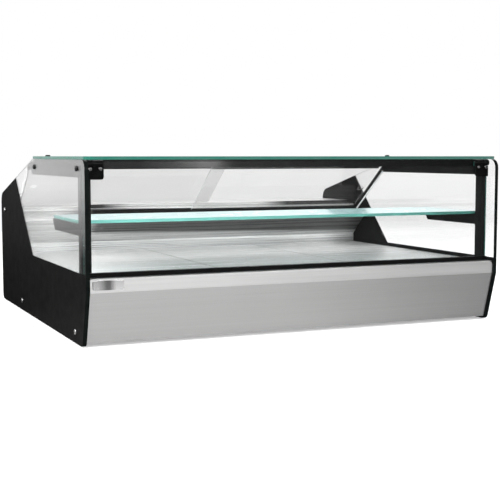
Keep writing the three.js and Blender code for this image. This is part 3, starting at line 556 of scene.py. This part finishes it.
FINISH = {
    top_glass: ("glass_top",),
    shelf_glass: ("shelf_glass",),
    window_glass: ("front_glass",),
    left_panel_glass: ("left_end_panel",),
    right_panel_glass: ("right_end_panel",),
    left_door_acrylic: ("left_door",),
    right_door_acrylic: ("right_door",),
    steel_front: ("fascia",),
    steel_back: ("cabin_back",),
    steel_across: ("server_ledge", "base_pan", "rear_wall", "shield"),
    steel_deck: ("deck_plate_left", "deck_plate_middle", "deck_plate_right", "deck_strip"),
    steel_along: ("left_cheek", "right_cheek"),
    black_deep: ("front_glass_profile",),
    rail_coat: ("front_rail",),
    black_coat: ("header", "left_frame", "right_frame", "left_hinge_lug", "right_hinge_lug"),
    black_gloss: ("left_glass_clamp", "right_glass_clamp"),
    jamb_plastic: ("left_jamb", "right_jamb"),
    track_metal: ("lower_track_outer",),
    inner_track_plastic: ("lower_track_inner",),
    black_plastic: ("thermostat", "knob", "switch_housing", "rocker", "gland"),
    element_steel: ("element_left", "element_middle", "element_right"),
    amber: ("lamp",),
    rubber: tuple(f"{side}_foot_{end}" for side, _ in SIDES for end in ("front", "rear")),
    bolt_metal: tuple(name for name in nodes if "_bolt_" in name),
}
for material, names in FINISH.items():
    for name in names:
        obj = nodes[name]
        if not obj.material_slots:
            obj.data.materials.append(None)
        for material_slot in obj.material_slots:
            material_slot.link = "OBJECT"
            material_slot.material = material


# Small pieces

SEGMENTS = 48
BEVEL_SEGMENTS = 3
BEVEL_ANGLE = math.radians(35)
SPLIT_ANGLE = math.radians(40)


def piece(name, bm, material, body, bevel=0.0):
    """Makes the object of a mesh and seats it on its body."""
    bmesh.ops.recalc_face_normals(bm, faces=bm.faces)
    mesh = bpy.data.meshes.new(name)
    bm.to_mesh(mesh)
    bm.free()
    obj = bpy.data.objects.new(name, mesh)
    bpy.context.scene.collection.objects.link(obj)
    mesh.materials.append(material)
    mesh.shade_smooth()
    if bevel:
        rounding = obj.modifiers.new("rounding", "BEVEL")
        rounding.width = bevel
        rounding.segments = BEVEL_SEGMENTS
        rounding.limit_method = "ANGLE"
        rounding.angle_limit = BEVEL_ANGLE
        obj.modifiers.new("edges", "WEIGHTED_NORMAL")
    else:
        edges = obj.modifiers.new("edges", "EDGE_SPLIT")
        edges.split_angle = SPLIT_ANGLE
    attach(obj, body)
    return obj


def prism(bm, lower, upper):
    """A closed solid between two outlines of as many points."""
    low = [bm.verts.new(point) for point in lower]
    high = [bm.verts.new(point) for point in upper]
    bm.faces.new(low)
    bm.faces.new(reversed(high))
    for index in range(len(low)):
        after = (index + 1) % len(low)
        bm.faces.new((low[index], high[index], high[after], low[after]))


def ring_body(bm, rings, place, axis):
    """A closed solid of rings about one axis. A ring is a height and a radius, or a radius by angle."""
    loops = []
    for height, radius in rings:
        loop = []
        for index in range(SEGMENTS):
            angle = 2 * math.pi * index / SEGMENTS
            reach = radius(angle) if callable(radius) else radius
            loop.append(bm.verts.new((reach * math.cos(angle), reach * math.sin(angle), height)))
        loops.append(loop)
    for low, high in zip(loops, loops[1:]):
        for index in range(SEGMENTS):
            after = (index + 1) % SEGMENTS
            bm.faces.new((low[index], low[after], high[after], high[index]))
    bm.faces.new(reversed(loops[0]))
    bm.faces.new(loops[-1])
    turn = Vector((0, 0, 1)).rotation_difference(Vector(axis)).to_matrix().to_4x4()
    verts = [vert for loop in loops for vert in loop]
    bmesh.ops.transform(bm, matrix=Matrix.Translation(place) @ turn, verts=verts)


def hexagon(flats):
    """Radius by angle of a hexagon socket."""
    return lambda angle: flats / 2 / math.cos(angle % (math.pi / 3) - math.pi / 6)


# Keeps the width of a cross from a division by nothing
CROSS_LIMIT = 0.01


def cross(length, width):
    """Radius by angle of a cross recess."""
    def reach(angle):
        off = abs((angle + math.pi / 4) % (math.pi / 2) - math.pi / 4)
        return min(length / 2 / math.cos(off), width / 2 / max(math.sin(off), CROSS_LIMIT))
    return reach


# A round head: shares of its radius at the foot and the crown, and of its height at both ends of the rim
FOOT_SHARE = 0.96
CROWN_SHARE = 0.62
RIM_SHARES = (0.12, 0.3)
# The rings of its dome, as shares of a quarter turn
DOME_SHARES = (0.5, 0.7, 0.85, 0.95)
# Its recess: shares of the recess at the mouth and the floor, and of the head's height at the neck
MOUTH_SHARE = 1.1
FLOOR_SHARE = 0.96
NECK_SHARE = 0.92


def button_rings(radius, height, socket, depth, shank=None, length=0.0):
    """A round head with a recess, on its shank, from the shank's end outwards."""
    crown = radius * CROWN_SHARE
    rim_foot, rim_top = (height * share for share in RIM_SHARES)
    rings = [(-length, shank), (0, shank)] if shank else []
    rings += [(0, radius * FOOT_SHARE), (rim_foot, radius), (rim_top, radius)]
    for share in DOME_SHARES:
        angle = share * math.pi / 2
        rise = rim_top + (height - rim_top) * math.sin(angle)
        rings.append((rise, crown + (radius - crown) * math.cos(angle)))
    rings.append((height, crown))
    rings.append((height, lambda a: socket(a) * MOUTH_SHARE))
    rings.append((height * NECK_SHARE, socket))
    rings.append((height - depth, lambda a: socket(a) * FLOOR_SHARE))
    return rings


BOLT_PLACES = ("front", "rear", "toe", "middle", "heel", "top")
HEXAGON_BOLTS = ("front", "rear", "top")
BOLT_HEAD = 0.003
BOLT_RECESS = 0.0022
# Shares of a bolt head's radius: its shank, the hexagon's flats, and the length and width of the cross
SHANK_SHARE = 0.55
FLATS_SHARE = 0.8
CROSS_SHARES = (1.25, 0.34)


def bolts():
    """The bolts through the end panels and the top, with hexagon or cross recesses."""
    for side, sign in SIDES:
        for place in BOLT_PLACES:
            node = f"{side}_bolt_{place}"
            low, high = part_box(node)
            centre = (Vector(low) + Vector(high)) / 2
            if place == "top":
                axis = (0, 0, 1)
                reach = high[2] - low[2]
                seat = Vector((centre.x, centre.y, high[2] - BOLT_HEAD))
            else:
                axis = (sign, 0, 0)
                reach = high[0] - low[0]
                outer = high[0] if sign > 0 else low[0]
                seat = Vector((outer - sign * BOLT_HEAD, centre.y, centre.z))
            radius = (high[1] - low[1]) / 2
            if place in HEXAGON_BOLTS:
                socket = hexagon(radius * FLATS_SHARE)
                metal = bolt_metal
            else:
                socket = cross(*(radius * share for share in CROSS_SHARES))
                metal = screw_metal
            shank = radius * SHANK_SHARE
            rings = button_rings(radius, BOLT_HEAD, socket, BOLT_RECESS, shank, reach - BOLT_HEAD)
            bm = bmesh.new()
            ring_body(bm, rings, seat, axis)
            made = piece(f"{node}_detail", bm, metal, CABINET)
            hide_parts(node)


CLAMP_SCREW = dict(radius=0.0034, height=0.0014, flats=0.0034, recess=0.0011)
CLAMP_SCREW_SHARES = (0.18, 0.80)
CLAMP_SCREW_BELOW_AXIS = 0.0098
PIN_END = dict(radius=0.0038, height=0.0012, flats=0.003, recess=0.001)


def socket_rings(size):
    """The rings of a small round head with a hexagon socket."""
    return button_rings(size["radius"], size["height"], hexagon(size["flats"]), size["recess"])


def clamp_screws():
    """Two screws in the face of each clamp, and the bright end of the pin in its barrel."""
    for side, sign in SIDES:
        low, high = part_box(f"{side}_glass_clamp")
        outer, inner = (low[0], high[0]) if sign < 0 else (high[0], low[0])
        axis = Vector((inner, (low[1] + high[1]) / 2, high[2] - (high[1] - low[1]) / 2))
        for index, share in enumerate(CLAMP_SCREW_SHARES):
            bm = bmesh.new()
            seat = Vector((outer + (inner - outer) * share, low[1], axis.z - CLAMP_SCREW_BELOW_AXIS))
            ring_body(bm, socket_rings(CLAMP_SCREW), seat, (0, -1, 0))
            piece(f"{side}_clamp_screw_{index}", bm, clamp_metal, WINDOW)
        bm = bmesh.new()
        ring_body(bm, socket_rings(PIN_END), axis, (-sign, 0, 0))
        piece(f"{side}_pin_end", bm, bolt_metal, CABINET)


def rounded_plate(bm, corners, radius, steps, to_place, thickness):
    """A flat plate with rounded corners. to_place turns (across, up, out) into a place."""
    points = []
    for index, corner in enumerate(corners):
        here = Vector(corner)
        to_before = (Vector(corners[index - 1]) - here).normalized()
        to_after = (Vector(corners[(index + 1) % len(corners)]) - here).normalized()
        opening = to_before.angle(to_after)
        setback = radius / math.tan(opening / 2)
        centre = here + (to_before + to_after).normalized() * radius / math.sin(opening / 2)
        start = here + to_before * setback - centre
        end = here + to_after * setback - centre
        for step in range(steps + 1):
            points.append(centre + start.lerp(end, step / steps).normalized() * radius)
    prism(bm, [to_place(p.x, p.y, 0.0) for p in points], [to_place(p.x, p.y, thickness) for p in points])


def name_plate():
    """The bare bright plate at the left of the upright strip."""
    plate = NAME_PLATE
    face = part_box("fascia")[0][1]
    corners = [(plate["left"], plate["bottom"]), (plate["right"], plate["bottom"]),
               (plate["right"], plate["top"]), (plate["left"], plate["top"])]
    bm = bmesh.new()
    rounded_plate(bm, corners, plate["corner"], plate["corner_steps"],
                  lambda x, z, out: Vector((x, face - out, z)), plate["thickness"])
    piece("name_plate", bm, plate_metal, CABINET, bevel=plate["bevel"])


SEAL_REACH = {"left": 0.0035, "right": 0.009}
SEAL_THICKNESS = 0.0005
SEAL_STEPS = 8


def corner_seals():
    """Black fillets at the two upper corners of the steel front."""
    low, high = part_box("fascia")
    face = low[1]
    top = high[2]
    for side, sign in SIDES:
        edge = sign * high[0]
        reach = SEAL_REACH[side]
        points = [(edge, top)]
        for step in range(SEAL_STEPS + 1):
            angle = math.pi / 2 * step / SEAL_STEPS
            points.append((edge - sign * reach * (1 - math.sin(angle)), top - reach * (1 - math.cos(angle))))
        bm = bmesh.new()
        prism(bm, [(x, face, z) for x, z in points], [(x, face - SEAL_THICKNESS, z) for x, z in points])
        piece(f"{side}_corner_seal", bm, black_seal, CABINET)


WALL_SCREW = dict(radius=0.0042, height=0.0018, length=0.0048, width=0.0013, recess=0.0014)
WALL_SCREW_COLUMNS = 5
WALL_SCREW_INSET = 0.022
WALL_SCREW_ABOVE_FOOT = 0.012
WALL_SCREW_BELOW_TOP = 0.022


def screws():
    """Cross screws that hold the back wall and the ledge."""
    low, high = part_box("rear_wall")
    size = WALL_SCREW
    socket = cross(size["length"], size["width"])
    rings = button_rings(size["radius"], size["height"], socket, size["recess"])
    start = low[0] + WALL_SCREW_INSET
    run = high[0] - low[0] - 2 * WALL_SCREW_INSET
    bm = bmesh.new()
    for column in range(WALL_SCREW_COLUMNS):
        x = start + run * column / (WALL_SCREW_COLUMNS - 1)
        for z in (low[2] + WALL_SCREW_ABOVE_FOOT, high[2] - WALL_SCREW_BELOW_TOP):
            ring_body(bm, rings, Vector((x, high[1], z)), (0, 1, 0))
    piece("rear_wall_screws", bm, bright_metal, CABINET)


# The first tick and the pitch are in degrees; a tick starts and ends at a distance from the knob
DIAL = dict(ticks=11, first=225, pitch=27, gap=0.003, long=0.0085, short=0.0065, half=0.0005,
            thickness=0.00015)
# The pointer's start and end are shares of the knob's radius
POINTER = dict(start=0.35, end=0.92, half=0.0008, corner=0.0006, corner_steps=4, thickness=0.0003)


def dial():
    """The plain ticks round the knob, and the knob's pointer."""
    low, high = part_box("knob")
    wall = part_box("rear_wall")[1][1]
    centre = Vector(((low[0] + high[0]) / 2, wall, (low[2] + high[2]) / 2))
    radius = (high[0] - low[0]) / 2
    lift = Vector((0, DIAL["thickness"], 0))
    half = DIAL["half"]
    bm = bmesh.new()
    for step in range(DIAL["ticks"]):
        angle = math.radians(DIAL["first"] - DIAL["pitch"] * step)
        along = Vector((-math.cos(angle), 0, math.sin(angle)))
        aside = Vector((-along.z, 0, along.x))
        outermost = step in (0, DIAL["ticks"] - 1)
        start = radius + DIAL["gap"]
        end = radius + DIAL["long" if outermost else "short"]
        corners = ((start, -half), (start, half), (end, half), (end, -half))
        flat = [centre + along * a + aside * b for a, b in corners]
        prism(bm, flat, [point + lift for point in flat])
    piece("dial_ticks", bm, black_seal, CABINET)
    start = radius * POINTER["start"]
    end = radius * POINTER["end"]
    half = POINTER["half"]
    bm = bmesh.new()
    rounded_plate(bm, [(-half, start), (half, start), (half, end), (-half, end)],
                  POINTER["corner"], POINTER["corner_steps"],
                  lambda x, z, out: Vector((centre.x + x, high[1] + out, centre.z + z)), POINTER["thickness"])
    piece("knob_pointer", bm, white_paint, "knob")


bolts()
clamp_screws()
name_plate()
corner_seals()
screws()
dial()


# Stage

# Each lamp's name, place, aim, size and power in watts
LAMPS = (
    ("front", (0.75, -3.4, 1.3), (0, 0, 0.15), (3.2, 1.2), 105),
    ("key", (-2.6, -1.6, 3.0), (0, 0, 0.15), (2.0, 2.0), 80),
    ("back", (0.6, 2.8, 3.0), (0, 0, 0.2), (2.6, 1.4), 60),
    ("side", (-2.3, -0.9, 1.0), (-0.35, 0.1, 0.15), (1.2, 0.8), 42),
)


def area_lamp(name, location, target, size, power):
    """A rectangular lamp, turned to its target."""
    data = bpy.data.lights.new(name, "AREA")
    data.shape = "RECTANGLE"
    data.size, data.size_y = size
    data.energy = power
    lamp = bpy.data.objects.new(name, data)
    lamp.location = location
    aim = Vector(target) - Vector(location)
    lamp.rotation_euler = aim.to_track_quat("-Z", "Y").to_euler()
    bpy.context.scene.collection.objects.link(lamp)


def flat_sheet(name, corners):
    """An object of one face with four corners."""
    mesh = bpy.data.meshes.new(name)
    mesh.from_pydata(corners, [], [(0, 1, 2, 3)])
    sheet = bpy.data.objects.new(name, mesh)
    bpy.context.scene.collection.objects.link(sheet)
    return sheet


# Levels of the world: as it is seen, in reflections in front of the case, at its sides and under it, and as
# soft light
SEEN_GLOW = 1.0
FRONT_GLOW = 0.08
SIDE_GLOW = 1.0
LOW_GLOW = 0.08
SOFT_LIGHT = 0.62
# The stretches of the direction's Y and Z over which the level changes, and the count of bounces
GLOW_TURN = (-0.75, -0.1)
GLOW_FALL = (-0.09, -0.028)
FIRST_BOUNCE = (0.0, 1.0)


def build_world():
    """White wherever it is seen; in reflections it is dim behind the camera, as in a studio."""
    studio = Shade(bpy.data.worlds.new("studio"), "ShaderNodeOutputWorld")
    direction = studio.axes("Generated")
    path = studio.node("ShaderNodeLightPath")
    low_glow = studio.along(direction["Z"], *GLOW_FALL, LOW_GLOW, SIDE_GLOW)
    mirrored = studio.along(direction["Y"], *GLOW_TURN, FRONT_GLOW, low_glow)
    glossy = studio.along(path.outputs["Glossy Depth"], *FIRST_BOUNCE, SEEN_GLOW, mirrored)
    level = studio.along(path.outputs["Diffuse Depth"], *FIRST_BOUNCE, glossy, SOFT_LIGHT)
    background = studio.node("ShaderNodeBackground")
    studio.feed(background.inputs["Color"], WHITE)
    studio.feed(background.inputs["Strength"], level)
    bpy.context.scene.world = studio.finish(background.outputs[0])


CARD = dict(left=-0.1, right=2.4, bottom=0.296, top=0.348, y=-3.0)
CARD_TONES = ((0.0, 0.12), (0.24, 0.15), (0.31, 0.42), (0.36, 0.95), (0.38, 1.0), (0.4, 0.4), (0.42, 0.15),
              (0.7, 0.06), (1.0, 0.0))
CARD_GLOW = 1.25


def build_card():
    """A small lit card behind the camera, which the front rail mirrors as a soft patch."""
    corners = ((CARD["left"], CARD["bottom"]), (CARD["right"], CARD["bottom"]),
               (CARD["right"], CARD["top"]), (CARD["left"], CARD["top"]))
    card = flat_sheet("card", [(x, CARD["y"], z) for x, z in corners])
    shade = new_material("card_light")
    glow = shade.node("ShaderNodeEmission")
    shade.feed(glow.inputs["Color"],
               shade.ramp(shade.along(shade.axes()["X"], CARD["left"], CARD["right"]), *CARD_TONES))
    shade.feed(glow.inputs["Strength"], CARD_GLOW)
    unseen = shade.node("ShaderNodeBsdfTransparent")
    path = shade.node("ShaderNodeLightPath")
    lit = shade.mix(path.outputs["Is Glossy Ray"], unseen.outputs[0], glow.outputs[0])
    card.data.materials.append(shade.finish(lit))


def seen_directly(shade):
    """1 where the camera sees a face, straight or through glass; 0 in reflections and in bounced light."""
    path = shade.node("ShaderNodeLightPath")
    bounces = shade.math("ADD", path.outputs["Diffuse Depth"], path.outputs["Glossy Depth"])
    return shade.math("LESS_THAN", bounces, 0.5)


FLOOR_CORNERS = ((-4, -1.5), (4, -1.5), (4, 2.8), (-4, 2.8))
FLOOR_SEEN = (0.81, 0.815)
FLOOR_SCALE = 2.0
# Painted shade of the floor in reflections: by x before the case, by y behind it, and the stretch of y
# between
FLOOR_FRONT_SPAN = (-0.5, 0.55)
FLOOR_FRONT_TONES = ((0.0, 0.56), (0.5, 0.47), (1.0, 0.24))
FLOOR_BACK_SPAN = (0.4, 2.8)
FLOOR_BACK_TONES = ((0.0, 0.03), (0.4, 0.05), (1.0, 0.42))
FLOOR_TURN = (-0.35, 0.3)
# The light that the floor adds where it is seen, and how it falls off behind the case
FLOOR_LIFT = 0.4
FLOOR_LIFT_LOSS = -0.2
FLOOR_LIFT_SPAN = (0.5, 1.6)


def build_floor():
    """A pale floor that keeps the shadow; in the steel and the glass it is mirrored darker than it is seen,
    as painted shade.
    """
    floor = flat_sheet("floor", [(x, y, 0) for x, y in FLOOR_CORNERS])
    shade = new_material("floor_paint")
    grain = shade.noise(FLOOR_SCALE, detail=2.0)
    seen = seen_directly(shade)
    x, y, _ = shade.axes()
    front = shade.ramp(shade.along(x, *FLOOR_FRONT_SPAN), *FLOOR_FRONT_TONES)
    behind = shade.ramp(shade.along(y, *FLOOR_BACK_SPAN), *FLOOR_BACK_TONES)
    mirrored = shade.blend(shade.along(y, *FLOOR_TURN), front, behind)
    lift = shade.math("MULTIPLY_ADD", shade.along(y, *FLOOR_LIFT_SPAN), FLOOR_LIFT_LOSS, FLOOR_LIFT)
    paint = shade.principled(
        Base_Color=shade.blend(seen, mirrored, shade.mottled(grain, *FLOOR_SEEN)),
        Roughness=0.9,
        Specular_IOR_Level=0.0,
        Emission_Color=WHITE,
        Emission_Strength=shade.math("MULTIPLY", seen, lift),
    )
    floor.data.materials.append(shade.finish(paint))


# The camera, fitted to the edges of the case in the photograph
CAMERA_PLACE = (-0.95577, -2.30263, 0.35593)
CAMERA_DOWN = math.radians(4.9988)
CAMERA_TURN = math.radians(23.5529)
CAMERA_LENS = 77.552
CAMERA_SENSOR = 36.0
CAMERA_REACH = 200.0


def build_camera():
    data = bpy.data.cameras.new("camera")
    data.sensor_width = CAMERA_SENSOR
    data.lens = CAMERA_LENS
    data.clip_end = CAMERA_REACH
    camera = bpy.data.objects.new("camera", data)
    camera.location = CAMERA_PLACE
    camera.rotation_euler = (math.pi / 2 - CAMERA_DOWN, 0, -CAMERA_TURN)
    bpy.context.scene.collection.objects.link(camera)
    bpy.context.scene.camera = camera


bpy.context.scene.view_settings.view_transform = "Standard"
build_camera()
build_world()
build_floor()
build_card()
for lamp in LAMPS:
    area_lamp(*lamp)
